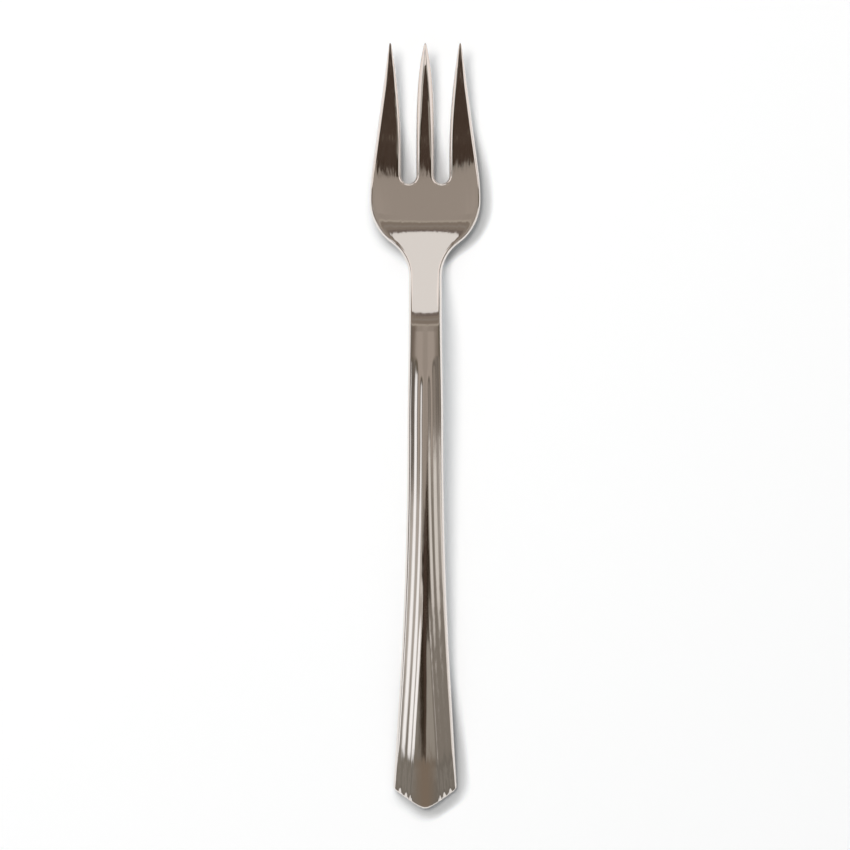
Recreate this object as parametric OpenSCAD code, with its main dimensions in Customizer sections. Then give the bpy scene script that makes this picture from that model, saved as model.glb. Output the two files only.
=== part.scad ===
// Tasting fork with three pointed tines and a fluted, flared handle that ends in a point.
// It lies on its back along Y with the tines towards +Y. The origin is under its middle, on the table.
// Every surface is a height over the plan, so neighbouring sub-parts meet on one shared section.

/* [Tines] */
// Length of the tines from the round ends of the slots to the tips
tine_len = 17.5; // [14:0.5:20]
// Width of the middle tine at its root
middle_tine_w = 2.4; // [2:0.1:2.8]
// Width of the slots between the tines
slot_w = 2; // [1.6:0.1:2.2]
// Distance of an outer tip from the centre line
tip_spread = 4.65; // [4.3:0.05:5]
// Width of a tine at its tip
tip_w = 0.3; // [0.2:0.05:0.5]
// Length over which a tip rounds off
tip_len = 0.35; // [0.2:0.05:0.6]
// Width of the blunt end of a tip
tip_blunt = 0.08; // [0.04:0.02:0.14]
// Length of the straight sides of a slot
slot_straight = 2.5; // [1:0.5:5]
// Thickness of a tine at its tip
tip_thick = 0.8; // [0.6:0.1:1.2]
// Rise of the tips over the belly of the palm
tip_rise = 3.9; // [3:0.05:4.6]
// Length over which the tines bend up to their slope
tine_bend = 9.5; // [6:0.5:14]

/* [Palm] */
// Greatest width of the palm
palm_w = 14.8; // [13.5:0.2:17]
// Length of the palm, from the middle of the shoulders to the round ends of the slots
palm_len = 8.7; // [8:0.1:10]
// Distance from the round ends of the slots back to the widest place
wide_back = 3.3; // [2.8:0.1:4.2]
// Length over which the sides bend from the widest place to the slant of the outer tines
round_len = 4; // [2:0.5:6]
// Length of the shoulders that narrow the palm to the neck
shoulder_len = 10.2; // [9:0.2:11.4]
// Share of the shoulders that rounds outwards, where the rest is a hollow fillet
shoulder_share = 0.56; // [0.45:0.01:0.65]
// Thickness of the palm
palm_thick = 1.6; // [1.2:0.1:2]
// Height of the palm's sides over its middle
dish_h = 0.25; // [0.1:0.05:0.6]
// Distance from the round ends of the slots back to the lowest place
belly_back = 5.2; // [4.6:0.1:5.8]
// Distance by which the belly bows towards the tines at the palm's sides
belly_bow = 0.85; // [0:0.05:1.5]

/* [Neck and shank] */
// Length of the neck, from the shank to the middle of the shoulders
neck_len = 9.3; // [8.6:0.1:11]
// Length of the plain shank
shank_len = 6; // [5:0.5:9]
// Width of the shank
shank_w = 4.38; // [4:0.02:4.7]
// Thickness of the shank
shank_thick = 2.1; // [1.8:0.1:2.6]
// Drop of the shank's top towards its sides
shank_crown = 0.32; // [0.1:0.02:0.6]
// Width of the soft fall along the sides where the neck widens
fall_w = 0.75; // [0.6:0.05:1.6]
// Depth of that fall at the edge
fall_h = 0.13; // [0:0.01:0.3]
// Height of the arch under the shank
arch_h = 5.25; // [3:0.05:7]
// Length of the level crest of the arch
crest_len = 3.1; // [2:0.1:6]
// Length of the ramp from the crest down to the belly
ramp_len = 16.2; // [14.4:0.2:18]

/* [Handle] */
// Length of the fluted handle, with its point
handle_len = 60.5; // [56:0.5:66]
// Width of the handle where it begins to flare
waist_w = 4.76; // [4.7:0.02:5.2]
// Width of the handle at the corners of its point
handle_w = 8.5; // [7.6:0.1:9.6]
// Thickness of the handle at its ridge
handle_thick = 2.1; // [1.8:0.1:2.6]
// Distance from the point to the place where the sides begin to flare
flare_start = 50.6; // [46:0.2:54]
// Length over which the sides bend to their slant
flare_bend = 34.5; // [24:0.5:42]
// Drop of the handle's top from its ridge to its sides
ridge_drop = 0.32; // [0.2:0.02:0.6]
// Length of the handle's point
point_len = 2.6; // [1.8:0.1:3.6]
// Radius of the two corners of the point
corner_r = 0.5; // [0.3:0.1:0.9]
// Distance from the point to the heel, where the handle begins to climb
heel_len = 5.7; // [4.6:0.1:8]
// Height of the heel over the point
heel_rise = 0.23; // [0.1:0.01:0.4]
// Length over which the heel turns
heel_soft = 1.6; // [0.5:0.1:2]
// Distance by which the heel bows towards the shank at the sides
heel_bow = 2.2; // [0:0.1:3]
// Fall of the face from the heel to the point, where the handle thins
tail_fall_h = 0.9; // [0.5:0.05:1.1]
// Width of the soft fall of the face along the edge of the point
end_fall_w = 0.3; // [0.2:0.05:0.5]
// Slope of that fall at the edge
end_slope = 0.33; // [0.2:0.01:0.4]
// Length of the lobes in which the steps end along the point
lobe_len = 0.8; // [0.4:0.05:1]

/* [Flutes] */
// Width of the border outside the steps, at the waist
waist_border_w = 0.8; // [0.7:0.02:0.9]
// Width of that border at the corners of the point
border_w = 0.6; // [0.52:0.02:0.7]
// Width of the first and of the second step, at the waist
waist_step_w = 0.7; // [0.6:0.02:0.8]
// Width of those steps at the corners of the point
step_w = 0.8; // [0.66:0.02:0.9]
// Height of the first step
first_step_h = 0.055; // [0.03:0.005:0.1]
// Height of the other steps
step_h = 0.07; // [0.03:0.005:0.1]
// Distance from the side to the foot of the last step
last_step_at = 2.05; // [1.9:0.05:2.2]
// Width of the last step
last_step_w = 0.55; // [0.4:0.05:0.7]
// Width of the handle at which the last step begins to open
open_w = 5.3; // [4.9:0.1:6]
// Growth of the handle's width until the last step is open
open_growth = 1; // [0.8:0.1:2]
// Length over which the flutes run out towards the shank
run_out = 2.5; // [2:0.5:6]
// Distance by which the inner steps start after the first one
second_lag = 1.6; // [0:0.2:3]

/* [Edges] */
// Width of the rounded edges, seen from above
edge_w = 0.42; // [0.3:0.02:0.5]
// Width of the rounded edge along the handle's point
end_edge_w = 0.2; // [0.16:0.02:0.36]
// Greatest width of the middle tine's rounded edges
middle_edge_w = 0.75; // [0.5:0.05:1]
// Length from its root over which the middle tine's edges grow to that
edge_growth = 12; // [2:0.5:16]
// Share of the thickness that stays upright at the parting line
edge_land = 0.16; // [0.1:0.02:0.4]
// Depth of the two flats that the fork lies on
rest_depth = 0.06; // [0.03:0.01:0.12]

/* [Hidden] */
silver = [0.76, 0.74, 0.71];

// Places along the fork, from the handle's point to the tips
overall_len = handle_len + shank_len + neck_len + palm_len + tine_len;
y_point = -overall_len / 2;
y_corner = y_point + point_len;
y_heel = y_point + heel_len;
y_flare = y_point + flare_start;
y_handle = y_point + handle_len;
y_shank = y_handle + shank_len;
y_neck = y_shank + neck_len;
y_root = y_neck + palm_len;
y_wide = y_root - wide_back;
y_shoulder = y_wide - shoulder_len;
y_belly = y_root - belly_back;
y_crest = y_belly - ramp_len - crest_len;
y_taper = y_root + slot_straight;
y_tip = y_root + tine_len;

// Places across the fork, from the centre line
slot_r = slot_w / 2;
slot_x = middle_tine_w / 2 + slot_r;

// Arcs of the shoulders
shoulder_turn = 2 * atan((palm_w - shank_w) / 2 / shoulder_len);
rounding_len = shoulder_share * shoulder_len;
rounding_r = rounding_len / sin(shoulder_turn);
fillet_len = shoulder_len - rounding_len;
fillet_r = fillet_len / sin(shoulder_turn);

// How much longer the slanting sides of the handle's point are than their run along Y
point_tilt = sqrt(1 + pow(2 * point_len / handle_w, 2));

// Shape exponents of the tines' inner sides, the middle tine and the tines' thickness
inner_power = 2;
ogive_power = 3.4;
thin_power = 1.8;
// Shares of a tine's width that its rounded edges may take
outer_edge_share = 0.22;
middle_edge_share = 0.5;
// Roundness of the top's ridge on the shank and at the handle's end
crown_soft = 1;
ridge_soft = 0.03;
// Roundness of the handle's point
point_soft = 0.2;
// Least half widths at the foot of the last step and on the flat above it, where the handle is narrow
least_foot = 0.16;
least_flat = 0.08;

// Widths of rounding that a row has to hold before its edge columns move closer together
edge_room = 2.2;

// Numbers of steps in the grids
edge_steps = 4;
border_steps = 2;
tread_steps = 4;
flat_steps = 2;
tine_steps = 5;
slot_steps = 10;
handle_rows = 30;
shank_rows = 6;
neck_rows = 13;
palm_rows = 12;
tine_rows = 17;
tip_rows = 3;
// Growth of the handle's rows away from its point
row_power = 1.25;
// Half the step for slopes
slope_step = 0.05;

function clamp01(t) = min(1, max(0, t));
function mix(a, b, t) = a + (b - a) * t;
function ease(t) = let(c = clamp01(t)) c * c * (3 - 2 * c);
function dome(t) = sqrt(1 - pow(1 - clamp01(t), 2));
function stair(t) = let(c = clamp01(t)) c - sin(360 * c) / (2 * PI);
function bump(t) = (1 - cos(360 * clamp01(t))) / 2;
function soft_run(run, soft) = (run + norm([run, soft])) / 2;
function roof(a, soft) = (sqrt(a * a + soft * soft) - soft) / (sqrt(1 + soft * soft) - soft);
function flat(rows) = [for (row = rows) each row];
function reversed(list) = [for (i = [len(list) - 1:-1:0]) list[i]];

// Offset of a line that turns from straight on to a slope of 1 over a length
function bend(run, length) =
    let(d = max(0, run))
    d < length ? d * d / (2 * length) : d - length / 2;

// How much longer a slanting side is than its run along Y
function tilt(side, y) =
    let(slope = (side(y + slope_step) - side(y - slope_step)) / (2 * slope_step))
    sqrt(1 + slope * slope);

// Half width of the outline at y: the flared handle, the two arcs of a shoulder and the slanting outer tines
function flare_x(y) =
    let(
        down = max(y, y_corner),
        waist = mix(shank_w, waist_w, ease((y_shank - down) / (y_shank - y_flare))),
        slope = (handle_w - waist_w) / (y_flare - y_corner - flare_bend / 2)
    )
    (waist + slope * bend(y_flare - down, flare_bend)) / 2;
function shoulder_x(y) =
    y < y_wide - rounding_len
        ? shank_w / 2 + fillet_r - sqrt(pow(fillet_r, 2) - pow(y - y_shoulder, 2))
        : palm_w / 2 - rounding_r + sqrt(pow(rounding_r, 2) - pow(y_wide - y, 2));
function outer_x(y) =
    let(slope = (palm_w / 2 - tip_spread - tip_w / 2) / (y_tip - y_wide - round_len / 2))
    palm_w / 2 - slope * bend(y - y_wide, round_len);
function outline_x(y) = y < y_shoulder ? flare_x(y) : y < y_wide ? shoulder_x(y) : outer_x(y);
outline = function(y) outline_x(y);

// Inner sides of the tines at y
function taper(y) = clamp01((y - y_taper) / (y_tip - y_taper));
function inner_x(y) = mix(slot_x + slot_r, tip_spread - tip_w / 2, pow(taper(y), inner_power));
function middle_x(y) = mix(middle_tine_w, tip_w, pow(taper(y), ogive_power)) / 2;
function tip_round(y) = max(tip_blunt / tip_w, sqrt(1 - pow(clamp01((y - y_tip + tip_len) / tip_len), 2)));

// Far end of the handle at x, a chevron with soft corners
function point_y(x) =
    let(turn = clamp01((abs(x) - handle_w / 2 + corner_r) / corner_r))
    y_point + point_len * roof(x / (handle_w / 2), point_soft) + corner_r * (1 - sqrt(1 - turn * turn));

// Height of the underside along the centre line: tail and climb, ramp, then the rise of the tines
function tail(y) = heel_rise * (y - y_point) / heel_len;
function climb(y) =
    let(q = clamp01(1 - soft_run(y - y_heel, heel_soft) / (y_crest - y_heel)))
    (arch_h - tail(y_crest)) * (1 - q * q * (3 - q) / 2);
function under(y) =
    (y < y_crest ? tail(y) + climb(y)
        : y < y_belly ? arch_h * ease((y_belly - y) / ramp_len)
        : tip_rise * bend(y - y_belly, tine_bend) / (y_tip - y_belly - tine_bend / 2)) - rest_depth;

// How far the cross-section at y has changed from the shank's to the handle's end or to the palm
function ridge_share(y) = ease((y_flare - y) / (y_flare - y_corner));
function head_share(y) = ease((y - y_shank) / (y_wide - y_shank));

// Thickness along the centre line
function thick(y) =
    y < y_handle ? mix(shank_thick, handle_thick, ridge_share(y))
        : y < y_root ? mix(shank_thick, palm_thick, head_share(y))
        : mix(palm_thick, tip_thick, pow((y - y_root) / tine_len, thin_power));

// Falls of the top: from the ridge to the sides, along the sides of the widening neck, behind the heel,
// and along the edge of the point, where each step ends in a lobe
function drop(x, y) =
    mix(shank_crown, ridge_drop, ridge_share(y)) * (1 - head_share(y))
        * roof(x / outline_x(y), mix(crown_soft, ridge_soft, ridge_share(y)));
function shoulder_fall(x, y) =
    fall_h * ease((y - y_shank) / neck_len) * ease((y_wide - y) / (y_wide - y_neck))
        * pow(1 - clamp01(side_edge(x, y) / fall_w), 2);
function tail_fall(y) = tail_fall_h * soft_run(y_heel - y, heel_soft) / heel_len;
function lobes(x, y) =
    let(depth = flare_x(y) - abs(x), count = (depth - border(y)) / step(y))
    min(1, bump(count) + bump(count - 1) + bump((depth - last_step_at) / last_step_w));
function end_fall(x, y) =
    let(width = end_fall_w + lobe_len * lobes(x, y))
    end_slope / 2 * width * pow(1 - clamp01((y - point_y(x)) / point_tilt / width), 2);

// Flutes of the handle: two steps up from the border, and a last one that opens where the handle widens
function border(y) = mix(waist_border_w, border_w, ridge_share(y));
function step(y) = mix(waist_step_w, step_w, ridge_share(y));
function tread_x(y) = flare_x(y) - border(y) - step(y);
function foot_x(y) = max(least_foot, flare_x(y) - last_step_at);
function flat_x(y) = max(least_flat, foot_x(y) - last_step_w);
function opening(y) = ease((2 * flare_x(y) - open_w) / open_growth);
function flute(x, y) =
    let(
        depth = flare_x(y) - abs(x),
        count = (depth - border(y)) / step(y),
        first = first_step_h * stair(count) * ease((y_handle - y) / run_out),
        last = opening(y) * stair((depth - last_step_at) / last_step_w)
    )
    first + step_h * (stair(count - 1) + last) * ease((y_handle - second_lag - y) / run_out);

// Points of the top and the underside, where edge counts widths of rounding from the nearest edge
function full(x, y) =
    y < y_handle ? thick(y) - drop(x, y) - tail_fall(y - bow(x, y)) - end_fall(x, y) + flute(x, y)
        : thick(y) - drop(x, y) - (y < y_wide ? shoulder_fall(x, y) : 0);
function spread(x, y) = head_share(y) * pow(x / (palm_w / 2), 2);
function bow(x, y) = belly_bow * spread(x, y) + heel_bow * ridge_share(y) * pow(x / (handle_w / 2), 2);
function middle_z(x, y) = under(y - bow(x, y)) + dish_h * spread(x, y) + full(x, y) / 2;
function rim(edge) = mix(edge_land, 1, dome(edge));
function upper(p) = [p[0], p[1], middle_z(p[0], p[1]) + full(p[0], p[1]) / 2 * rim(p[2])];
function lower(p) = [p[0], p[1], middle_z(p[0], p[1]) - full(p[0], p[1]) / 2 * rim(p[2])];

// Distance from the outline's sides, and from the slots' round ends
function side_edge(x, y) = max(0, outline_x(y) - abs(x)) / tilt(outline, y);
function slot_edge(x, y) = norm([abs(x) - slot_x, y - y_root]) - slot_r;

// Places from a left to a right side, close together at the rounded edges
edge_depths = [for (i = [0:edge_steps]) edge_w * (1 - cos(90 * i / edge_steps))];
function across(left, right, steps) =
    let(
        share = min(1, (right - left) / (edge_room * edge_w)),
        start = left + edge_w * share,
        end = right - edge_w * share
    )
    concat(
        [for (d = edge_depths) left + d * share],
        [for (i = [1:steps - 1]) mix(start, end, i / steps)],
        [for (d = reversed(edge_depths)) right - d * share]
    );

// Closed solid between the top and the underside over a grid of places, rows along Y and columns along X
module slab(grid) {
    columns = len(grid[0]);
    rows = len(grid);
    below = columns * rows;
    function at(j, i) = j * columns + i;
    function pair(a, b, c, d) = [[a, b, c], [a, c, d]];
    faces = [
        for (j = [0:rows - 2], i = [0:columns - 2])
            each concat(
                pair(at(j, i), at(j + 1, i), at(j + 1, i + 1), at(j, i + 1)),
                pair(below + at(j, i), below + at(j, i + 1), below + at(j + 1, i + 1), below + at(j + 1, i))
            ),
        for (j = [0:rows - 2], i = [0, columns - 1])
            let(a = i == 0 ? j + 1 : j, b = i == 0 ? j : j + 1)
            each pair(at(a, i), at(b, i), below + at(b, i), below + at(a, i)),
        for (i = [0:columns - 2], j = [0, rows - 1])
            let(a = j == 0 ? i : i + 1, b = j == 0 ? i + 1 : i)
            each pair(at(j, a), at(j, b), below + at(j, b), below + at(j, a)),
    ];
    places = flat(grid);
    polyhedron(concat([for (p = places) upper(p)], [for (p = places) lower(p)]), faces, convexity = 8);
}

// What lies under the table's level is cut away, which leaves the flats that the fork rests on
module on_table() {
    difference() {
        children();
        translate([-palm_w, -overall_len, -palm_w])
            cube([2 * palm_w, 2 * overall_len, palm_w]);
    }
}

// One tine between two sides, given as functions of y
module tine(left, right, tip_edge_w, edge_share) {
    body_end = y_tip - tip_len;
    ys = concat(
        [for (j = [0:tine_rows]) mix(y_root, body_end, j / tine_rows)],
        [for (j = [1:tip_rows]) body_end + tip_len * sin(90 * j / tip_rows)]
    );
    function sides(y) =
        let(a = left(y), b = right(y), c = (a + b) / 2, r = tip_round(y))
        [mix(c, a, r), mix(c, b, r)];
    function rounding(y) =
        min(mix(edge_w, tip_edge_w, ease((y - y_root) / edge_growth)), edge_share * (right(y) - left(y)));
    function edge(x, y) =
        let(s = sides(y))
        max(0, min((x - s[0]) / tilt(left, y), (s[1] - x) / tilt(right, y), y_tip - y)) / rounding(y);
    color(silver)
        slab([for (y = ys) let(s = sides(y)) [for (x = across(s[0], s[1], tine_steps)) [x, y, edge(x, y)]]]);
}

module left_tine() {
    tine(function(y) -outline_x(y), function(y) -inner_x(y), edge_w, outer_edge_share);
}

module middle_tine() {
    tine(function(y) -middle_x(y), function(y) middle_x(y), middle_edge_w, middle_edge_share);
}

module right_tine() {
    tine(function(y) inner_x(y), outline, edge_w, outer_edge_share);
}

// Places along the palm's far boundary, which runs along the three tine roots and round the ends of the slots
root_x = outline_x(y_root);
function root_run(a, b) = [for (x = across(a, b, tine_steps)) [x, y_root]];
function slot_run(x) =
    [for (i = [1:slot_steps - 1])
        let(turn = 180 * i / slot_steps)
        [x - slot_r * cos(turn), y_root - slot_r * sin(turn)]];
far_run = concat(
    root_run(-root_x, -slot_x - slot_r),
    slot_run(-slot_x),
    root_run(-slot_x + slot_r, slot_x - slot_r),
    slot_run(slot_x),
    root_run(slot_x + slot_r, root_x)
);

// Palm: rows gather towards the slots' ends, and columns spread with the outline
module palm() {
    function edge(x, y) = max(0, min(side_edge(x, y), slot_edge(x, y))) / edge_w;
    function place(p, j) =
        let(y = mix(y_neck, p[1], 1 - pow(1 - j / palm_rows, 2)), x = p[0] * outline_x(y) / outline_x(p[1]))
        [x, y, edge(x, y)];
    color(silver)
        on_table()
            slab([for (j = [0:palm_rows]) [for (p = far_run) place(p, j)]]);
}

// Plain stretch of the fork between two places along it
module stretch(y_from, y_to, row_count) {
    ys = [for (j = [0:row_count]) mix(y_from, y_to, j / row_count)];
    function row(y) =
        let(reach = outline_x(y))
        [for (x = across(-reach, reach, 2 * tine_steps)) [x, y, side_edge(x, y) / edge_w]];
    color(silver)
        slab([for (y = ys) row(y)]);
}

module neck() {
    stretch(y_shank, y_neck, neck_rows);
}

module shank() {
    stretch(y_handle, y_shank, shank_rows);
}

// Handle: columns follow the border and the steps, and rows start at the chevron of the point
module handle() {
    function half_row(y) = concat(
        [for (i = [0:edge_steps - 1]) flare_x(y) - edge_depths[i]],
        [for (i = [0:border_steps]) flare_x(y) - mix(edge_w, border(y), i / border_steps)],
        [for (i = [1:tread_steps]) flare_x(y) - border(y) - step(y) * i / tread_steps],
        [for (i = [1:tread_steps]) mix(tread_x(y), foot_x(y), i / tread_steps)],
        [for (i = [1:tread_steps]) mix(foot_x(y), flat_x(y), i / tread_steps)],
        [for (i = [flat_steps - 1:-1:0]) flat_x(y) * i / flat_steps]
    );
    ends = half_row(y_corner);
    function row_y(start, j) =
        let(rounding = end_edge_w * point_tilt)
        j <= edge_steps
            ? start + rounding * (1 - cos(90 * j / edge_steps))
            : mix(start + rounding, y_handle, pow((j - edge_steps) / handle_rows, row_power));
    function place(k, j) =
        let(
            start = point_y(ends[k]),
            y = row_y(start, j),
            x = half_row(y)[k],
            edge = min(side_edge(x, y) / edge_w, (y - start) / point_tilt / end_edge_w)
        )
        [x, y, edge];
    function row(j) =
        let(half = [for (k = [0:len(ends) - 1]) place(k, j)], left = [for (p = half) [-p[0], p[1], p[2]]])
        concat(left, [for (k = [len(half) - 2:-1:0]) half[k]]);
    color(silver)
        on_table()
            slab([for (j = [0:edge_steps + handle_rows]) row(j)]);
}

left_tine();
middle_tine();
right_tine();
palm();
neck();
shank();
handle();
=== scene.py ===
import bpy
import numpy as np
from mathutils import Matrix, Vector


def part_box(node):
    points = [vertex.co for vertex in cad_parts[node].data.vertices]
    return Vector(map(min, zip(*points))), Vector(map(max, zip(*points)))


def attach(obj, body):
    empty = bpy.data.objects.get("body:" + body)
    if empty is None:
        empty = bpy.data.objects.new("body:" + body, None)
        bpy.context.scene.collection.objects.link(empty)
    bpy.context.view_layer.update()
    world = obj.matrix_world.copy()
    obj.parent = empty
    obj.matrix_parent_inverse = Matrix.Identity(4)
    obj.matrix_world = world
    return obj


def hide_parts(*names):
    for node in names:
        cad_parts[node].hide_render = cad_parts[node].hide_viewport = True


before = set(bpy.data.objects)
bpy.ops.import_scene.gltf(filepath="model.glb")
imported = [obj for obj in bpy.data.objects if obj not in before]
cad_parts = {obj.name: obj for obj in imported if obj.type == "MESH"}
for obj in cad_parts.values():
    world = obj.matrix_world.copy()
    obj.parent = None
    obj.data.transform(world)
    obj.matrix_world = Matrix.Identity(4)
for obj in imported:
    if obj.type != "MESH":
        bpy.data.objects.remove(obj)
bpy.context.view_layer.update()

MM = 0.001

# Places along the fork in millimetres, from the frame's nodes


def ends(node):
    """Lowest and highest Y of a CAD node, in millimetres."""
    low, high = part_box(node)
    return low.y / MM, high.y / MM


Y_POINT, Y_HANDLE = ends("handle")
Y_SHANK = ends("shank")[1]
Y_NECK = ends("neck")[1]
Y_ROOT, Y_TIP = ends("middle_tine")

# Sizes in millimetres, as the CAD part has them

MIDDLE_TINE_W = 2.4
SLOT_W = 2.0
SLOT_STRAIGHT = 2.5
TIP_SPREAD = 4.65
TIP_W = 0.3
TIP_LEN = 0.35
TIP_BLUNT = 0.08
TIP_THICK = 0.8
TIP_RISE = 3.9
TINE_BEND = 9.5
PALM_W = 14.8
WIDE_BACK = 3.3
ROUND_LEN = 4.0
SHOULDER_LEN = 10.2
PALM_THICK = 1.6
DISH_H = 0.25
BELLY_BACK = 5.2
BELLY_BOW = 0.85
SHANK_W = 4.38
SHANK_THICK = 2.1
SHANK_CROWN = 0.32
FALL_W = 0.75
FALL_H = 0.13
ARCH_H = 5.25
CREST_LEN = 3.1
RAMP_LEN = 16.2
WAIST_W = 4.76
HANDLE_W = 8.5
HANDLE_THICK = 2.1
FLARE_START = 50.6
FLARE_BEND = 34.5
RIDGE_DROP = 0.32
POINT_LEN = 2.6
CORNER_R = 0.5
HEEL_LEN = 5.7
HEEL_RISE = 0.23
HEEL_SOFT = 1.6
HEEL_BOW = 2.2
TAIL_FALL = 0.9
WAIST_BORDER_W = 0.8
BORDER_W = 0.6
WAIST_STEP_W = 0.7
STEP_W = 0.8
FIRST_STEP_H = 0.055
STEP_H = 0.07
LAST_STEP_AT = 2.05
LAST_STEP_W = 0.55
OPEN_W = 5.3
OPEN_GROWTH = 1.0
RUN_OUT = 2.5
SECOND_LAG = 1.6
END_FALL_W = 0.3
END_SLOPE = 0.33
LOBE_LEN = 0.8
EDGE_W = 0.42
END_EDGE_W = 0.2
MIDDLE_EDGE_W = 0.75
EDGE_GROWTH = 12.0
EDGE_LAND = 0.16
REST_DEPTH = 0.06

# Shares, exponents and softness of ridges

SHOULDER_SHARE = 0.56
OUTER_EDGE_SHARE = 0.22
MIDDLE_EDGE_SHARE = 0.5
INNER_POWER = 2.0
OGIVE_POWER = 3.4
THIN_POWER = 1.8
CROWN_SOFT = 1.0
RIDGE_SOFT = 0.03
POINT_SOFT = 0.2

# Places that follow from these sizes

Y_CORNER = Y_POINT + POINT_LEN
Y_HEEL = Y_POINT + HEEL_LEN
Y_FLARE = Y_POINT + FLARE_START
Y_WIDE = Y_ROOT - WIDE_BACK
Y_SHOULDER = Y_WIDE - SHOULDER_LEN
Y_BELLY = Y_ROOT - BELLY_BACK
Y_RAMP = Y_BELLY - RAMP_LEN
Y_CREST = Y_RAMP - CREST_LEN
Y_TAPER = Y_ROOT + SLOT_STRAIGHT
SLOT_R = SLOT_W / 2
SLOT_X = MIDDLE_TINE_W / 2 + SLOT_R

# How much longer the slanting sides of the handle's point are than their run along Y

POINT_TILT = np.sqrt(1 + (2 * POINT_LEN / HANDLE_W) ** 2)

# Steps of the meshes

EDGE_STEPS = 8
BORDER_STEPS = 4
TREAD_STEPS = 12
FLAT_STEPS = 8
TINE_STEPS = 8
SLOT_STEPS = 24
HANDLE_ROWS = 160
SHANK_ROWS = 24
NECK_ROWS = 40
PALM_ROWS = 44
TINE_ROWS = 70
TIP_ROWS = 6
EDGE_ROOM = 2.2
LEAST_FOOT = 0.16
LEAST_FLAT = 0.08
SLOPE_STEP = 0.05
GHOST_STEP = 0.2
SLOT_SLACK = 0.000001


def clamp01(t):
    return np.clip(t, 0.0, 1.0)


def mix(a, b, t):
    return a + (b - a) * t


def ease(t):
    c = clamp01(t)
    return c * c * (3 - 2 * c)


def dome(t):
    return np.sqrt(1 - (1 - clamp01(t)) ** 2)


def stair(t):
    """Soft step from 0 to 1 that starts and ends level."""
    c = clamp01(t)
    return c - np.sin(2 * np.pi * c) / (2 * np.pi)


def bump(t):
    """Soft hump over the length of a step."""
    return (1 - np.cos(2 * np.pi * clamp01(t))) / 2


def soft_run(run, soft):
    """Distance past a place, which begins softly."""
    return (run + np.sqrt(run * run + soft * soft)) / 2


def bend(run, length):
    """Offset of a line that turns from straight on to a slope of 1 over a length."""
    d = np.maximum(0, run)
    return np.where(d < length, d * d / (2 * length), d - length / 2)


def tilt(side, y):
    """How much longer a slanting side is than its run along Y."""
    slope = (side(y + SLOPE_STEP) - side(y - SLOPE_STEP)) / (2 * SLOPE_STEP)
    return np.sqrt(1 + slope * slope)


# Outline of the fork


def flare_x(y):
    y = np.maximum(y, Y_CORNER)
    waist = mix(SHANK_W, WAIST_W, ease((Y_SHANK - y) / (Y_SHANK - Y_FLARE)))
    slope = (HANDLE_W - WAIST_W) / (Y_FLARE - Y_CORNER - FLARE_BEND / 2)
    return (waist + slope * bend(Y_FLARE - y, FLARE_BEND)) / 2


def shoulder_x(y):
    """Two arcs, a fillet out of the shank and a rounding into the palm's side."""
    angle = 2 * np.arctan((PALM_W - SHANK_W) / 2 / SHOULDER_LEN)
    outer_len = SHOULDER_SHARE * SHOULDER_LEN
    inner_len = SHOULDER_LEN - outer_len
    outer_r = outer_len / np.sin(angle)
    inner_r = inner_len / np.sin(angle)
    up = np.clip(y - Y_SHOULDER, 0, inner_len)
    down = np.clip(Y_WIDE - y, 0, outer_len)
    fillet = SHANK_W / 2 + inner_r - np.sqrt(inner_r**2 - up**2)
    rounding = PALM_W / 2 - outer_r + np.sqrt(outer_r**2 - down**2)
    return np.where(y < Y_WIDE - outer_len, fillet, rounding)


def outline_x(y):
    slope = (PALM_W / 2 - TIP_SPREAD - TIP_W / 2) / (Y_TIP - Y_WIDE - ROUND_LEN / 2)
    outer = PALM_W / 2 - slope * bend(y - Y_WIDE, ROUND_LEN)
    return np.where(y < Y_SHOULDER, flare_x(y), np.where(y < Y_WIDE, shoulder_x(y), outer))


def taper(y):
    return clamp01((y - Y_TAPER) / (Y_TIP - Y_TAPER))


def inner_x(y):
    return mix(SLOT_X + SLOT_R, TIP_SPREAD - TIP_W / 2, taper(y) ** INNER_POWER)


def middle_x(y):
    return mix(MIDDLE_TINE_W, TIP_W, taper(y) ** OGIVE_POWER) / 2


def tip_round(y):
    t = clamp01((y - Y_TIP + TIP_LEN) / TIP_LEN)
    return np.maximum(TIP_BLUNT / TIP_W, np.sqrt(1 - t * t))


def roof(a, soft):
    return (np.sqrt(a * a + soft * soft) - soft) / (np.sqrt(1 + soft * soft) - soft)


def point_y(x):
    """Y of the chevron at the handle's end."""
    turn = clamp01((np.abs(x) - HANDLE_W / 2 + CORNER_R) / CORNER_R)
    corner = CORNER_R * (1 - np.sqrt(1 - turn * turn))
    return Y_POINT + POINT_LEN * roof(x / (HANDLE_W / 2), POINT_SOFT) + corner


# Heights over the plan


def tail(y):
    """Gentle slope from the handle's point up to its heel, and on."""
    return HEEL_RISE * (y - Y_POINT) / HEEL_LEN


def under(y):
    """Height of the underside: tail, climb from the heel to the crest, ramp down, and the tines' rise."""
    q = clamp01(1 - soft_run(y - Y_HEEL, HEEL_SOFT) / (Y_CREST - Y_HEEL))
    climb = (ARCH_H - tail(Y_CREST)) * (1 - q * q * (3 - q) / 2)
    fall = ARCH_H * ease((Y_BELLY - y) / RAMP_LEN)
    rise = TIP_RISE * bend(y - Y_BELLY, TINE_BEND) / (Y_TIP - Y_BELLY - TINE_BEND / 2)
    arched = np.where(y < Y_CREST, tail(y) + climb, fall)
    return np.where(y < Y_BELLY, arched, rise) - REST_DEPTH


def ridge_share(y):
    return ease((Y_FLARE - y) / (Y_FLARE - Y_CORNER))


def head_share(y):
    return ease((y - Y_SHANK) / (Y_WIDE - Y_SHANK))


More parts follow.
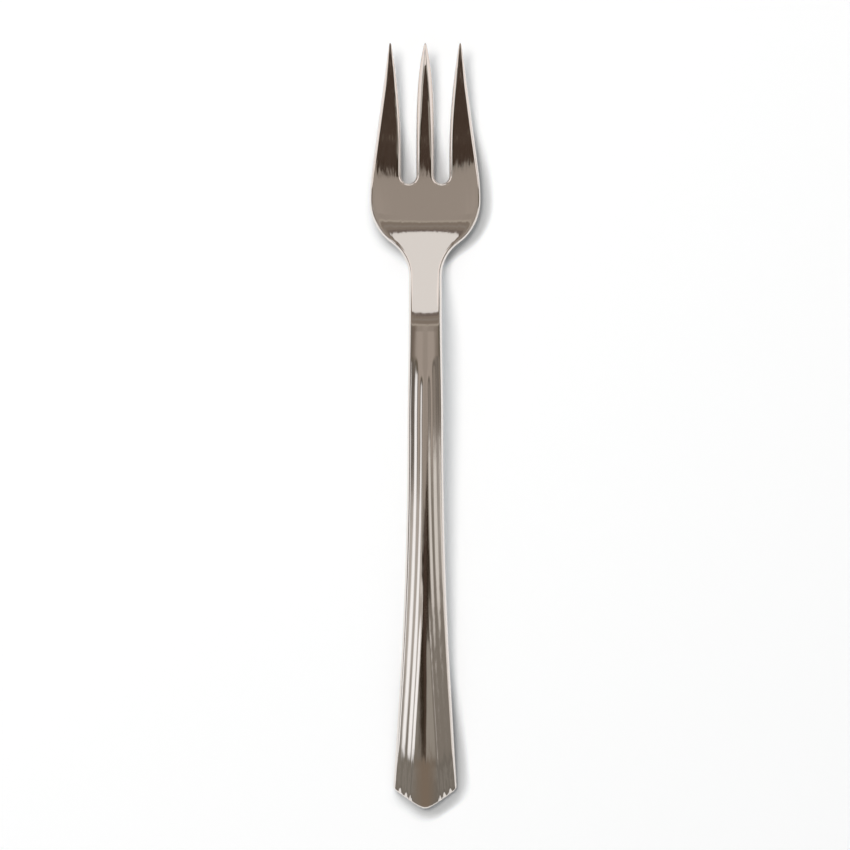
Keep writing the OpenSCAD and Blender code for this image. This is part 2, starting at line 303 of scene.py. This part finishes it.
def thick(y):
    shaft = mix(SHANK_THICK, HANDLE_THICK, ridge_share(y))
    head = mix(SHANK_THICK, PALM_THICK, head_share(y))
    reach = clamp01((y - Y_ROOT) / (Y_TIP - Y_ROOT))
    tine = mix(PALM_THICK, TIP_THICK, reach**THIN_POWER)
    return np.where(y < Y_HANDLE, shaft, np.where(y < Y_ROOT, head, tine))


def drop(x, y):
    side = mix(SHANK_CROWN, RIDGE_DROP, ridge_share(y)) * (1 - head_share(y))
    return side * roof(x / outline_x(y), mix(CROWN_SOFT, RIDGE_SOFT, ridge_share(y)))


def shoulder_fall(x, y):
    """Soft fall of the face towards the sides where the neck widens."""
    rise = ease((y - Y_SHANK) / (Y_NECK - Y_SHANK))
    end = ease((Y_WIDE - y) / (Y_WIDE - Y_NECK))
    return FALL_H * rise * end * (1 - clamp01(side_edge(x, y) / FALL_W)) ** 2


def end_fall(x, y):
    """Soft fall of the face towards the handle's point, with a longer lobe at the end of each step."""
    depth = flare_x(y) - np.abs(x)
    count = (depth - border(y)) / step(y)
    lobes = bump(count) + bump(count - 1) + bump((depth - LAST_STEP_AT) / LAST_STEP_W)
    width = END_FALL_W + LOBE_LEN * np.minimum(1, lobes)
    return END_SLOPE / 2 * width * (1 - clamp01((y - point_y(x)) / POINT_TILT / width)) ** 2


def tail_fall(y):
    """Fall of the face behind the heel, where the handle thins towards its point."""
    return TAIL_FALL * soft_run(Y_HEEL - y, HEEL_SOFT) / HEEL_LEN


def border(y):
    return mix(WAIST_BORDER_W, BORDER_W, ridge_share(y))


def step(y):
    return mix(WAIST_STEP_W, STEP_W, ridge_share(y))


def tread_x(y):
    """Half the distance between the two treads between the first and the second step."""
    return flare_x(y) - border(y) - step(y)


def foot_x(y):
    """Half the width at the foot of the last step."""
    return np.maximum(LEAST_FOOT, flare_x(y) - LAST_STEP_AT)


def flat_x(y):
    """Half the width of the flat on top of the steps."""
    return np.maximum(LEAST_FLAT, foot_x(y) - LAST_STEP_W)


def flute(x, y):
    """Rise of the handle's face from its border: two steps, and a last one that opens further down."""
    depth = flare_x(y) - np.abs(x)
    opening = ease((2 * flare_x(y) - OPEN_W) / OPEN_GROWTH)
    count = (depth - border(y)) / step(y)
    first = FIRST_STEP_H * stair(count) * ease((Y_HANDLE - y) / RUN_OUT)
    others = stair(count - 1) + opening * stair((depth - LAST_STEP_AT) / LAST_STEP_W)
    return first + STEP_H * others * ease((Y_HANDLE - SECOND_LAG - y) / RUN_OUT)


def surfaces(x, y, edge):
    """Points of the top and the underside, where edge counts widths of rounding from an edge."""
    spread = (x / (PALM_W / 2)) ** 2 * head_share(y)
    bowed = y - BELLY_BOW * spread - HEEL_BOW * (x / (HANDLE_W / 2)) ** 2 * ridge_share(y)
    falls = drop(x, y) + shoulder_fall(x, y) + tail_fall(bowed) + end_fall(x, y)
    full = thick(y) - falls + flute(x, y)
    middle = under(bowed) + DISH_H * spread + full / 2
    half = full / 2 * mix(EDGE_LAND, 1, dome(edge))
    top = np.stack([x, y, middle + half], axis=-1)
    bottom = np.stack([x, y, np.maximum(middle - half, 0)], axis=-1)
    return top, bottom


def side_edge(x, y):
    return np.maximum(0, outline_x(y) - np.abs(x)) / tilt(outline_x, y)


def palm_edge(x, y):
    slot = np.hypot(np.abs(x) - SLOT_X, np.minimum(y - Y_ROOT, 0)) - SLOT_R
    return np.maximum(0, np.minimum(side_edge(x, y), slot))


# Meshes


def unit(vectors):
    return vectors / np.linalg.norm(vectors, axis=-1, keepdims=True)


def surface_normals(points):
    sideways = np.gradient(points, axis=1)
    lengthways = np.gradient(points, axis=0)
    return unit(np.cross(sideways, lengthways))


def side_normals(line, sign):
    """Level normals along a row or column of points, to its left for sign 1 and to its right for -1."""
    run = np.gradient(line, axis=0)
    level = np.stack([-run[:, 1], run[:, 0], np.zeros(len(run))], axis=-1)
    return unit(level) * sign


def piece(node, x, y, edge, start_joint, end_joint, end_normals=None):
    """Closed mesh between the top and the underside over a grid of places.

    At a joint the grid holds one more row, which lies on the neighbour and only shapes the normals.
    end_normals gives level normals for the columns of the last row that lie on an open edge.
    """
    top, bottom = surfaces(x, y, edge)
    top_normals, bottom_normals = surface_normals(top), -surface_normals(bottom)
    kept = slice(1 if start_joint else 0, -1 if end_joint else None)
    top, bottom = top[kept], bottom[kept]
    top_normals, bottom_normals = top_normals[kept], bottom_normals[kept]
    rows, columns = top.shape[:2]
    rims = [
        ((slice(None), 0), side_normals(top[:, 0], 1)),
        ((slice(None), -1), side_normals(top[:, -1], -1)),
    ]
    if not start_joint:
        rims.append(((0, slice(None)), side_normals(top[0], -1)))
    if end_normals is not None:
        open_end = np.any(end_normals != 0, axis=-1)
        rims.append(((-1, open_end), end_normals[open_end]))
    for place, normals in rims:
        top_normals[place] = normals
        bottom_normals[place] = normals

    index = np.arange(rows * columns).reshape(rows, columns)
    below = index + rows * columns

    def quads(a, b, c, d):
        return np.stack([a.ravel(), b.ravel(), c.ravel(), d.ravel()], axis=-1)

    smooth = [
        quads(index[:-1, :-1], index[:-1, 1:], index[1:, 1:], index[1:, :-1]),
        quads(below[:-1, :-1], below[1:, :-1], below[1:, 1:], below[:-1, 1:]),
        quads(index[:-1, 0], index[1:, 0], below[1:, 0], below[:-1, 0]),
        quads(index[1:, -1], index[:-1, -1], below[:-1, -1], below[1:, -1]),
    ]
    start = quads(index[0, 1:], index[0, :-1], below[0, :-1], below[0, 1:])
    end = quads(index[-1, :-1], index[-1, 1:], below[-1, 1:], below[-1, :-1])
    caps = []
    if start_joint:
        caps.append((start, (0, -1, 0)))
    else:
        smooth.append(start)
    if end_normals is None:
        caps.append((end, (0, 1, 0)))
    else:
        on_rim = open_end[:-1] & open_end[1:]
        smooth.append(end[on_rim])
        if not on_rim.all():
            caps.append((end[~on_rim], (0, 1, 0)))
    faces = np.concatenate(smooth + [cap for cap, _ in caps])
    points = np.concatenate([top.reshape(-1, 3), bottom.reshape(-1, 3)])
    normals = np.concatenate([top_normals.reshape(-1, 3), bottom_normals.reshape(-1, 3)])
    flat = [np.tile(direction, (cap.size, 1)) for cap, direction in caps]
    loop_normals = np.concatenate([normals[np.concatenate(smooth).ravel()]] + flat)

    mesh = bpy.data.meshes.new(f"{node}_skin")
    mesh.from_pydata((points * MM).tolist(), [], faces.tolist())
    mesh.shade_smooth()
    mesh.normals_split_custom_set(loop_normals.tolist())
    skin = bpy.data.objects.new(f"{node}_skin", mesh)
    bpy.context.scene.collection.objects.link(skin)
    skin.data.materials.append(SILVER)
    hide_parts(node)
    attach(skin, "root")


EDGE_DEPTHS = EDGE_W * (1 - np.cos(np.linspace(0, np.pi / 2, EDGE_STEPS + 1)))


def across(left, right, steps):
    """Places from a left to a right side, close together at the rounded edges."""
    depths = EDGE_DEPTHS * np.minimum(1, (right - left) / (EDGE_ROOM * EDGE_W))
    inner = np.linspace(left + depths[-1], right - depths[-1], steps + 1)[1:-1]
    return np.concatenate([left + depths, inner, right - depths[::-1]])


def tine_piece(node, left, right, tip_edge_w, edge_share):
    def sides(y):
        a, b = left(y), right(y)
        centre, share = (a + b) / 2, tip_round(y)
        return mix(centre, a, share), mix(centre, b, share)

    body_end = Y_TIP - TIP_LEN
    turn = np.linspace(0, np.pi / 2, TIP_ROWS + 1)[1:]
    ys = np.concatenate([np.linspace(Y_ROOT, body_end, TINE_ROWS + 1), body_end + TIP_LEN * np.sin(turn)])
    x = np.stack([across(*sides(y), TINE_STEPS) for y in ys])
    y = np.repeat(ys[:, None], x.shape[1], axis=1)
    low, high = sides(y)
    edge = np.minimum((x - low) / tilt(left, y), (high - x) / tilt(right, y))
    edge = np.maximum(0, np.minimum(edge, Y_TIP - y))
    ghost_y = np.full((1, x.shape[1]), Y_ROOT - GHOST_STEP)
    edge = np.concatenate([palm_edge(x[:1], ghost_y), edge])
    x = np.concatenate([x[:1], x])
    y = np.concatenate([ghost_y, y])
    edge_w = mix(EDGE_W, tip_edge_w, ease((y - Y_ROOT) / EDGE_GROWTH))
    edge_w = np.minimum(edge_w, edge_share * (right(y) - left(y)))
    end_normals = np.tile((0.0, 1.0, 0.0), (x.shape[1], 1))
    piece(node, x, y, edge / edge_w, True, False, end_normals)


ROOT_X = float(outline_x(np.array(Y_ROOT)))
LEFT_ROOT = across(-ROOT_X, -SLOT_X - SLOT_R, TINE_STEPS)
MIDDLE_ROOT = across(-SLOT_X + SLOT_R, SLOT_X - SLOT_R, TINE_STEPS)
SLOT_TURN = np.linspace(0, np.pi, SLOT_STEPS + 1)[1:-1]
FAR_X = np.concatenate(
    [
        LEFT_ROOT,
        -SLOT_X - SLOT_R * np.cos(SLOT_TURN),
        MIDDLE_ROOT,
        SLOT_X - SLOT_R * np.cos(SLOT_TURN),
        -LEFT_ROOT[::-1],
    ]
)
FAR_Y = Y_ROOT - np.sqrt(np.maximum(0, SLOT_R**2 - (np.abs(FAR_X) - SLOT_X) ** 2))
INNER_SHARES = FAR_X[EDGE_STEPS:-EDGE_STEPS] / (ROOT_X - EDGE_W)


def columns_at(y):
    """Places across the head and shaft for an array of Y, one for each column."""
    reach = outline_x(y)
    left = -reach[..., :EDGE_STEPS] + EDGE_DEPTHS[:-1]
    right = reach[..., -EDGE_STEPS:] - EDGE_DEPTHS[-2::-1]
    middle = INNER_SHARES * (reach - EDGE_W)[..., EDGE_STEPS:-EDGE_STEPS]
    return np.concatenate([left, middle, right], axis=-1)


def palm_piece():
    near = np.linspace(0, 1, PALM_ROWS + 1)[:-1]
    rounding = EDGE_DEPTHS[::-1]
    y = np.concatenate(
        [
            mix(Y_NECK, FAR_Y - EDGE_W, near[:, None]),
            FAR_Y - rounding[:, None],
        ]
    )
    y = np.concatenate([np.full((1, len(FAR_X)), Y_NECK - GHOST_STEP), y, FAR_Y[None] + GHOST_STEP])
    x = columns_at(y)
    x[-2] = FAR_X
    x[-1] = FAR_X
    edge = palm_edge(x, y)
    slot_side = np.abs(np.abs(FAR_X) - SLOT_X) <= SLOT_R + SLOT_SLACK
    towards = np.stack([np.sign(FAR_X) * SLOT_X - FAR_X, Y_ROOT - FAR_Y, np.zeros(len(FAR_X))], axis=-1)
    end_normals = np.where(slot_side[:, None], towards / SLOT_R, 0)
    edge[-2][slot_side] = 0
    piece("palm", x, y, edge / EDGE_W, True, True, end_normals)


def shaft_piece(node, y_from, y_to, row_count):
    ys = np.linspace(y_from, y_to, row_count + 1)
    ys = np.concatenate([[y_from - GHOST_STEP], ys, [y_to + GHOST_STEP]])
    y = np.repeat(ys[:, None], len(FAR_X), axis=1)
    x = columns_at(y)
    piece(node, x, y, side_edge(x, y) / EDGE_W, True, True)


def handle_piece():
    border_shares = np.arange(BORDER_STEPS) / BORDER_STEPS
    shares = np.arange(1, TREAD_STEPS + 1) / TREAD_STEPS
    flat_shares = np.arange(FLAT_STEPS)[::-1] / FLAT_STEPS
    counts = [EDGE_STEPS, BORDER_STEPS + 1, TREAD_STEPS, TREAD_STEPS, TREAD_STEPS, FLAT_STEPS]

    def half_columns(y):
        """Places from the side to the centre line, which follow the steps."""
        edge_y, border_y, first_y, second_y, last_y, flat_y = np.split(y, np.cumsum(counts)[:-1], axis=-1)
        inside = flare_x(border_y) - mix(EDGE_W, border(border_y), np.append(border_shares, 1))
        first = mix(flare_x(first_y) - border(first_y), tread_x(first_y), shares)
        second = mix(tread_x(second_y), foot_x(second_y), shares)
        last = mix(foot_x(last_y), flat_x(last_y), shares)
        edge = flare_x(edge_y) - EDGE_DEPTHS[:-1]
        return np.concatenate([edge, inside, first, second, last, flat_x(flat_y) * flat_shares], axis=-1)

    count = sum(counts)
    end_x = half_columns(np.full((1, count), Y_CORNER))[0]
    end_y = point_y(end_x)
    rounding = EDGE_DEPTHS[:, None] / EDGE_W * END_EDGE_W * POINT_TILT
    run = np.linspace(0, 1, HANDLE_ROWS + 1)[1:, None]
    y = np.concatenate([end_y + rounding, mix(end_y + END_EDGE_W * POINT_TILT, Y_HANDLE, run)])
    y = np.concatenate([y, np.full((1, count), Y_HANDLE + GHOST_STEP)])
    x = half_columns(y)
    edge = np.minimum(side_edge(x, y) / EDGE_W, (y - end_y) / POINT_TILT / END_EDGE_W)

    def both(left, right):
        return np.concatenate([left, right[:, -2::-1]], axis=1)

    piece("handle", both(-x, x), both(y, y), both(edge, edge), False, True)


# Shader nodes


def plug(tree, value, socket):
    """Feed a socket from another node, or set it to a constant."""
    if isinstance(value, bpy.types.NodeSocket):
        tree.links.new(value, socket)
    else:
        socket.default_value = value


def calculate(tree, operation, *values):
    node = tree.nodes.new("ShaderNodeMath")
    node.operation = operation
    for socket, value in zip(node.inputs, values):
        plug(tree, value, socket)
    return node.outputs["Value"]


def calculate_vector(tree, operation, *vectors):
    node = tree.nodes.new("ShaderNodeVectorMath")
    node.operation = operation
    for socket, vector in zip(node.inputs, vectors):
        plug(tree, vector, socket)
    return node.outputs["Vector"]


def ranged(tree, value, from_range, to_range=(0.0, 1.0), soft=False):
    """Value carried over from one range to another and kept within it."""
    node = tree.nodes.new("ShaderNodeMapRange")
    if soft:
        node.interpolation_type = "SMOOTHSTEP"
    plug(tree, value, node.inputs["Value"])
    for name, limit in zip(("From Min", "From Max", "To Min", "To Max"), (*from_range, *to_range)):
        node.inputs[name].default_value = limit
    return node.outputs["Result"]


def blended(tree, share, first, second):
    """Colour between two others, which are the seventh and eighth sockets of the node."""
    node = tree.nodes.new("ShaderNodeMix")
    node.data_type = "RGBA"
    plug(tree, share, node.inputs["Factor"])
    plug(tree, first, node.inputs[6])
    plug(tree, second, node.inputs[7])
    return node.outputs[2]


def separated(tree, vector):
    node = tree.nodes.new("ShaderNodeSeparateXYZ")
    plug(tree, vector, node.inputs["Vector"])
    return node.outputs["X"], node.outputs["Y"], node.outputs["Z"]


def combined(tree, x, y, z):
    node = tree.nodes.new("ShaderNodeCombineXYZ")
    for socket, value in zip(node.inputs, (x, y, z)):
        plug(tree, value, socket)
    return node.outputs["Vector"]


def new_material(name):
    material = bpy.data.materials.new(name)
    material.use_nodes = True
    return material, material.node_tree, material.node_tree.nodes["Principled BSDF"]


# Finish, with noise scales in marks to the metre across, along and through the fork

SILVER_COLOUR = (0.80, 0.745, 0.70, 1)
STREAK_SCALE = (3600, 420, 3600)
STREAK_DETAIL = 3.0
STREAK_LEAN = 0.013
HANDLE_LEAN = 0.35
TAIL_BLEND = 6.0
FLOW_SCALE = (900, 130, 900)
FLOW_DETAIL = 2.0
FLOW_DEPTH = 0.008
NOISE_RANGE = (0.25, 0.75)
GLOSS_RANGE = (0.04, 0.10)


def silver_material():
    """Mirror-bright metallised skin with fine lengthwise flow marks and a slightly uneven gloss."""
    material, tree, shader = new_material("metallised_silver")
    place = tree.nodes.new("ShaderNodeTexCoord").outputs["Object"]

    def marks(scale, detail):
        stretched = tree.nodes.new("ShaderNodeMapping")
        stretched.inputs["Scale"].default_value = scale
        plug(tree, place, stretched.inputs["Vector"])
        noise = tree.nodes.new("ShaderNodeTexNoise")
        noise.inputs["Scale"].default_value = 1.0
        noise.inputs["Detail"].default_value = detail
        plug(tree, stretched.outputs["Vector"], noise.inputs["Vector"])
        return noise.outputs["Fac"]

    # Streaks lean the face a little along the fork, less on the handle than on the head and the tail
    streaks = marks(STREAK_SCALE, STREAK_DETAIL)
    along = separated(tree, place)[1]
    head = ranged(tree, along, (Y_HANDLE * MM, Y_NECK * MM), (HANDLE_LEAN, 1.0))
    heel = ranged(tree, along, ((Y_HEEL + TAIL_BLEND) * MM, Y_HEEL * MM), (HANDLE_LEAN, 1.0))
    share = calculate(tree, "MAXIMUM", head, heel)
    lean = ranged(tree, streaks, NOISE_RANGE, (-STREAK_LEAN, STREAK_LEAN))
    lean = calculate(tree, "MULTIPLY", lean, share)
    face = tree.nodes.new("ShaderNodeNewGeometry").outputs["Normal"]
    leaned = calculate_vector(tree, "ADD", face, combined(tree, 0.0, lean, 0.0))

    relief = tree.nodes.new("ShaderNodeBump")
    relief.inputs["Strength"].default_value = 1.0
    relief.inputs["Distance"].default_value = FLOW_DEPTH * MM
    plug(tree, marks(FLOW_SCALE, FLOW_DETAIL), relief.inputs["Height"])
    plug(tree, calculate_vector(tree, "NORMALIZE", leaned), relief.inputs["Normal"])

    shader.inputs["Metallic"].default_value = 1.0
    shader.inputs["Base Color"].default_value = SILVER_COLOUR
    plug(tree, relief.outputs["Normal"], shader.inputs["Normal"])
    plug(tree, ranged(tree, streaks, NOISE_RANGE, GLOSS_RANGE), shader.inputs["Roughness"])
    return material


SILVER = silver_material()
tine_piece("left_tine", lambda y: -outline_x(y), lambda y: -inner_x(y), EDGE_W, OUTER_EDGE_SHARE)
tine_piece("middle_tine", lambda y: -middle_x(y), middle_x, MIDDLE_EDGE_W, MIDDLE_EDGE_SHARE)
tine_piece("right_tine", inner_x, outline_x, EDGE_W, OUTER_EDGE_SHARE)
palm_piece()
shaft_piece("neck", Y_SHANK, Y_NECK, NECK_ROWS)
shaft_piece("shank", Y_HANDLE, Y_SHANK, SHANK_ROWS)
handle_piece()

# Surround of the studio, as tones and the ranges of direction that each of them fills

GROUND_TONE = (0.15, 0.13, 0.10)
RIDGE_TURN = 0.4
SLANT_TURN = 0.25
OVER = (0.0, 0.33, 0.02)
HIGH = (-0.16, 0.14, 0.02)
LEVEL = (-0.16, 0.0, 0.02)
NEAR = (-2.0, -0.11, 0.02)
LOWER = (-0.55, -0.335, 0.035)
CREST = (-0.6, -0.188, 0.012)
HORIZON = (-2.0, 0.10, 0.04)
PANELS = [
    # Shank and upper handle, left and right
    ((0.20, 0.165, 0.14), {"v": OVER, "u": (-0.45, 0.0, 0.03)}),
    ((0.25, 0.215, 0.185), {"v": OVER, "u": (0.0, 0.45, 0.03)}),
    # Left half of the handle
    ((0.25, 0.235, 0.21), {"v": NEAR, "u": (-1.2, 0.0, 0.05)}),
    ((0.48, 0.455, 0.425), {"u": (-0.45, -0.165, 0.04), "v": (-0.275, -0.165, 0.02)}),
    # Right half of the handle
    ((0.345, 0.325, 0.29), {"v": NEAR, "u": (0.0, 0.255, 0.03)}),
    ((0.235, 0.215, 0.19), {"v": NEAR, "u": (0.255, 0.75, 0.03)}),
    ((0.185, 0.165, 0.145), {"v": LEVEL, "u": (0.33, 0.75, 0.03)}),
    ((0.28, 0.25, 0.22), {"v": LEVEL, "u": (0.45, 0.75, 0.03)}),
    ((0.76, 0.74, 0.71), {"u": (0.39, 0.66, 0.10), "v": (-0.228, -0.13, 0.006)}),
    ((0.82, 0.79, 0.76), {"v": NEAR, "u": (0.66, 1.2, 0.05)}),
    # Middle of the shank, the upper handle and the palm
    ((0.335, 0.297, 0.262), {"v": OVER, "u": (-0.33, 0.33, 0.06)}),
    ((0.41, 0.365, 0.325), {"v": HIGH, "u": (-0.33, 0.33, 0.06)}),
    ((0.36, 0.320, 0.283), {"u": (-0.10, 0.10, 0.04), "v": (-0.19, 0.33, 0.01)}),
    # Ridge of the handle, and the dark of the tines
    ((0.70, 0.675, 0.645), {"u": (-0.23, -0.13, 0.02), "v": (-0.262, -0.215, 0.01)}),
    ((0.040, 0.030, 0.020), {"u": (0.12, 0.25, 0.025), "v": (-0.247, -0.212, 0.012)}),
    ((0.066, 0.045, 0.034), {"u": (-0.19, 0.17, 0.03), "ridge": CREST}),
    ((0.034, 0.024, 0.015), {"u": (-0.19, -0.055, 0.03), "ridge": CREST}),
    ((0.034, 0.024, 0.015), {"u": (0.055, 0.17, 0.03), "ridge": CREST}),
    ((0.345, 0.325, 0.29), {"u": (0.06, 0.255, 0.025), "v": (-0.34, -0.251, 0.004)}),
    # Dark, bright and grey strips along the left side of the handle
    ((0.13, 0.115, 0.10), {"u": (-0.47, -0.34, 0.03), "v": (-0.172, -0.05, 0.02)}),
    (
        (1.12, 1.14, 1.17),
        {"slant": (-3.0, -0.48, 0.09), "u": (-0.94, 1.0, 0.06), "v": (-0.75, -0.06, 0.015)},
    ),
    ((0.22, 0.20, 0.185), {"u": (-1.2, -0.61, 0.05), "v": (-0.20, 0.30, 0.02)}),
    # Tail of the handle, its rims and the edge of the point
    ((0.185, 0.172, 0.152), {"v": LOWER, "u": (-0.8, 0.8, 0.05)}),
    ((0.215, 0.20, 0.175), {"v": (-0.55, -0.312, 0.035), "u": (-0.8, -0.2, 0.05)}),
    ((0.26, 0.245, 0.222), {"u": (-0.8, 0.8, 0.05), "v": (-0.42, -0.39, 0.02)}),
    ((0.222, 0.178, 0.138), {"v": LOWER, "u": (-0.24, 0.24, 0.08)}),
    ((0.20, 0.185, 0.165), {"side": (0.6, 1.2, 0.05), "v": (-0.6, -0.285, 0.02)}),
    ((0.90, 0.90, 0.89), {"v": (-1.2, -0.55, 0.03)}),
    # Bands at both ends of the neck, and the pale neck
    ((0.42, 0.38, 0.33), {"v": (0.285, 0.34, 0.01)}),
    ((0.245, 0.208, 0.176), {"v": (0.34, 0.55, 0.012)}),
    ((0.28, 0.25, 0.22), {"v": (0.41, 0.45, 0.015)}),
    ((0.175, 0.144, 0.128), {"v": (0.50, 0.55, 0.015)}),
    ((0.85, 0.84, 0.83), {"v": (0.55, 1.2, 0.01), "u": (-0.5, 0.5, 0.05)}),
    # Horizon, dimmer on the right, and the ends of the slots
    ((1.12, 1.17, 1.24), {"w": HORIZON}),
    ((0.62, 0.64, 0.67), {"w": HORIZON, "u": (0.3, 1.2, 0.05)}),
    ((0.62, 0.55, 0.49), {"v": (0.93, 1.2, 0.02)}),
]


def studio_world():
    """Surround shaded by the direction looked in, with the panels laid over each other in their order.

    In a direction, u is to the right, v towards the tines and w up, and the other three follow from these.
    A range has its low end, its high end and the softness of both.
    """
    world = bpy.data.worlds.new("studio")
    bpy.context.scene.world = world
    world.use_nodes = True
    tree = world.node_tree
    u, v, w = separated(tree, tree.nodes.new("ShaderNodeTexCoord").outputs["Generated"])
    ways = {
        "u": u,
        "v": v,
        "w": w,
        "side": calculate(tree, "ABSOLUTE", u),
        "ridge": calculate(tree, "SUBTRACT", v, calculate(tree, "MULTIPLY", u, RIDGE_TURN)),
        "slant": calculate(tree, "ADD", u, calculate(tree, "MULTIPLY", v, SLANT_TURN)),
    }

    def band(way, low, high, soft):
        start = ranged(tree, ways[way], (low - soft, low + soft), soft=True)
        end = ranged(tree, ways[way], (high - soft, high + soft), soft=True)
        return calculate(tree, "SUBTRACT", start, end)

    sky = (*GROUND_TONE, 1)
    for tone, ranges in PANELS:
        share, *others = [band(way, *limits) for way, limits in ranges.items()]
        for other in others:
            share = calculate(tree, "MULTIPLY", share, other)
        sky = blended(tree, share, sky, (*tone, 1))
    plug(tree, sky, tree.nodes["Background"].inputs["Color"])


def flat_piece(name, corners, material):
    """Flat piece of the studio with four corners in millimetres."""
    mesh = bpy.data.meshes.new(name)
    mesh.from_pydata([tuple(c * MM for c in corner) for corner in corners], [], [(0, 1, 2, 3)])
    mesh.materials.append(material)
    thing = bpy.data.objects.new(name, mesh)
    bpy.context.scene.collection.objects.link(thing)
    return thing


# Table in millimetres, and the painted shadow close to the fork on the side away from the lamp

TABLE_HALF = 3000.0
TABLE_DROP = 0.02
TABLE_COLOUR = (0.862, 0.932, 1.0, 1)
TABLE_GLOW = (0.115, 0.115, 0.115, 1)
TABLE_ROUGHNESS = 0.9
MIRRORED_GLOW = 1.0
BLACK = (0.0, 0.0, 0.0, 1)
SHADE_REACH = 2.05
SHADE_DEPTH = 0.5
SHADE_FULL = 0.66
SHADE_SIDE = (-0.64, 0.64, 0.42)


def table():
    """White table top, which glows a little for the camera and the fork, and whose colour and glow are
    darkened by a painted shadow close to the fork.
    """
    material, tree, shader = new_material("table_white")
    # Painted shadow: an occlusion test towards the lamp's side, within a short reach, darkens the table's
    # colour and glow beside the fork, on top of the lamp's own shadow
    shade = tree.nodes.new("ShaderNodeAmbientOcclusion")
    shade.inputs["Distance"].default_value = SHADE_REACH * MM
    plug(tree, combined(tree, *SHADE_SIDE), shade.inputs["Normal"])
    painted_light = ranged(tree, shade.outputs["AO"], (SHADE_FULL, 1.0), (1 - SHADE_DEPTH, 1.0), soft=True)
    path = tree.nodes.new("ShaderNodeLightPath").outputs
    seen = calculate(tree, "MULTIPLY_ADD", path["Is Glossy Ray"], MIRRORED_GLOW, path["Is Camera Ray"])
    shader.inputs["Roughness"].default_value = TABLE_ROUGHNESS
    shader.inputs["Specular IOR Level"].default_value = 0.0
    shader.inputs["Emission Color"].default_value = TABLE_GLOW
    plug(tree, blended(tree, painted_light, BLACK, TABLE_COLOUR), shader.inputs["Base Color"])
    plug(tree, calculate(tree, "MULTIPLY", seen, painted_light), shader.inputs["Emission Strength"])
    turns = [(-1, -1), (1, -1), (1, 1), (-1, 1)]
    corners = [(x * TABLE_HALF, y * TABLE_HALF, -TABLE_DROP) for x, y in turns]
    top = flat_piece("table_top", corners, material)


# Cards in millimetres

CARD_PLACES = {"left": -16.0, "right": 14.0}
CARD_BEFORE, CARD_BEYOND = 1.5, 2.0
CARD_NEAR, CARD_FAR = Y_ROOT - CARD_BEFORE, Y_TIP + CARD_BEYOND
CARD_LOW, CARD_TOP = 4.0, 30.0
TIP_CARD_HALF, TIP_CARD_BACK, TIP_CARD_Z = 2.2, 5.0, 14.0
CARD_COLOUR = (0.99, 0.94, 0.92, 1)


def cards():
    """Pale cards at both sides of the tines and over the middle tip, which only mirrored rays meet."""
    material, _, shader = new_material("card_white")
    shader.inputs["Base Color"].default_value = BLACK
    shader.inputs["Specular IOR Level"].default_value = 0.0
    shader.inputs["Emission Color"].default_value = CARD_COLOUR
    shader.inputs["Emission Strength"].default_value = 1.0
    upright = [(CARD_NEAR, CARD_LOW), (CARD_FAR, CARD_LOW), (CARD_FAR, CARD_TOP), (CARD_NEAR, CARD_TOP)]
    corners = {name: [(x, y, z) for y, z in upright] for name, x in CARD_PLACES.items()}
    level = [(-1, TIP_CARD_BACK), (1, TIP_CARD_BACK), (1, 0), (-1, 0)]
    corners["tip"] = [(side * TIP_CARD_HALF, Y_TIP - back, TIP_CARD_Z) for side, back in level]
    for name, places in corners.items():
        card = flat_piece(f"{name}_card", places, material)
        card.visible_camera = False
        card.visible_diffuse = False
        card.visible_shadow = False


# Lamp in millimetres and watts

KEY_PLACE = (-170.0, 170.0, 720.0)
KEY_SIZE = 280.0
KEY_POWER = 3.5
KEY_COLOUR = (1.0, 0.90, 0.82)


def key_lamp():
    """Soft lamp high on the left and beyond the tines, which gives the fork its shadow."""
    lamp = bpy.data.lights.new("key", "AREA")
    lamp.shape = "DISK"
    lamp.size = KEY_SIZE * MM
    lamp.energy = KEY_POWER
    lamp.color = KEY_COLOUR
    key = bpy.data.objects.new("key", lamp)
    bpy.context.scene.collection.objects.link(key)
    key.location = [c * MM for c in KEY_PLACE]
    key.rotation_euler = (-key.location).to_track_quat("-Z", "Y").to_euler()
    key.visible_glossy = False


# Camera, with the photo's side, the fork's length and its centre in pixels, and heights in millimetres

PHOTO_SIDE = 850
FORK_PIXELS = 767.8
CENTRE_X, CENTRE_Y = 425.2, 426.85
PIXEL = (Y_TIP - Y_POINT) / FORK_PIXELS
CAMERA_HEIGHT = 600.0
FOCUS_HEIGHT = 4.0


def camera():
    """Camera straight above, with the fork as large and in the same place as in the photo."""
    lens = bpy.data.cameras.new("camera")
    eye = bpy.data.objects.new("camera", lens)
    bpy.context.scene.collection.objects.link(eye)
    lens.lens = lens.sensor_width * CAMERA_HEIGHT / (PHOTO_SIDE * PIXEL)
    x = (PHOTO_SIDE / 2 - CENTRE_X) * PIXEL
    y = (CENTRE_Y - PHOTO_SIDE / 2) * PIXEL
    eye.location = (x * MM, y * MM, (CAMERA_HEIGHT + FOCUS_HEIGHT) * MM)
    bpy.context.scene.camera = eye


bpy.context.scene.view_settings.view_transform = "Standard"
studio_world()
table()
cards()
key_lamp()
camera()
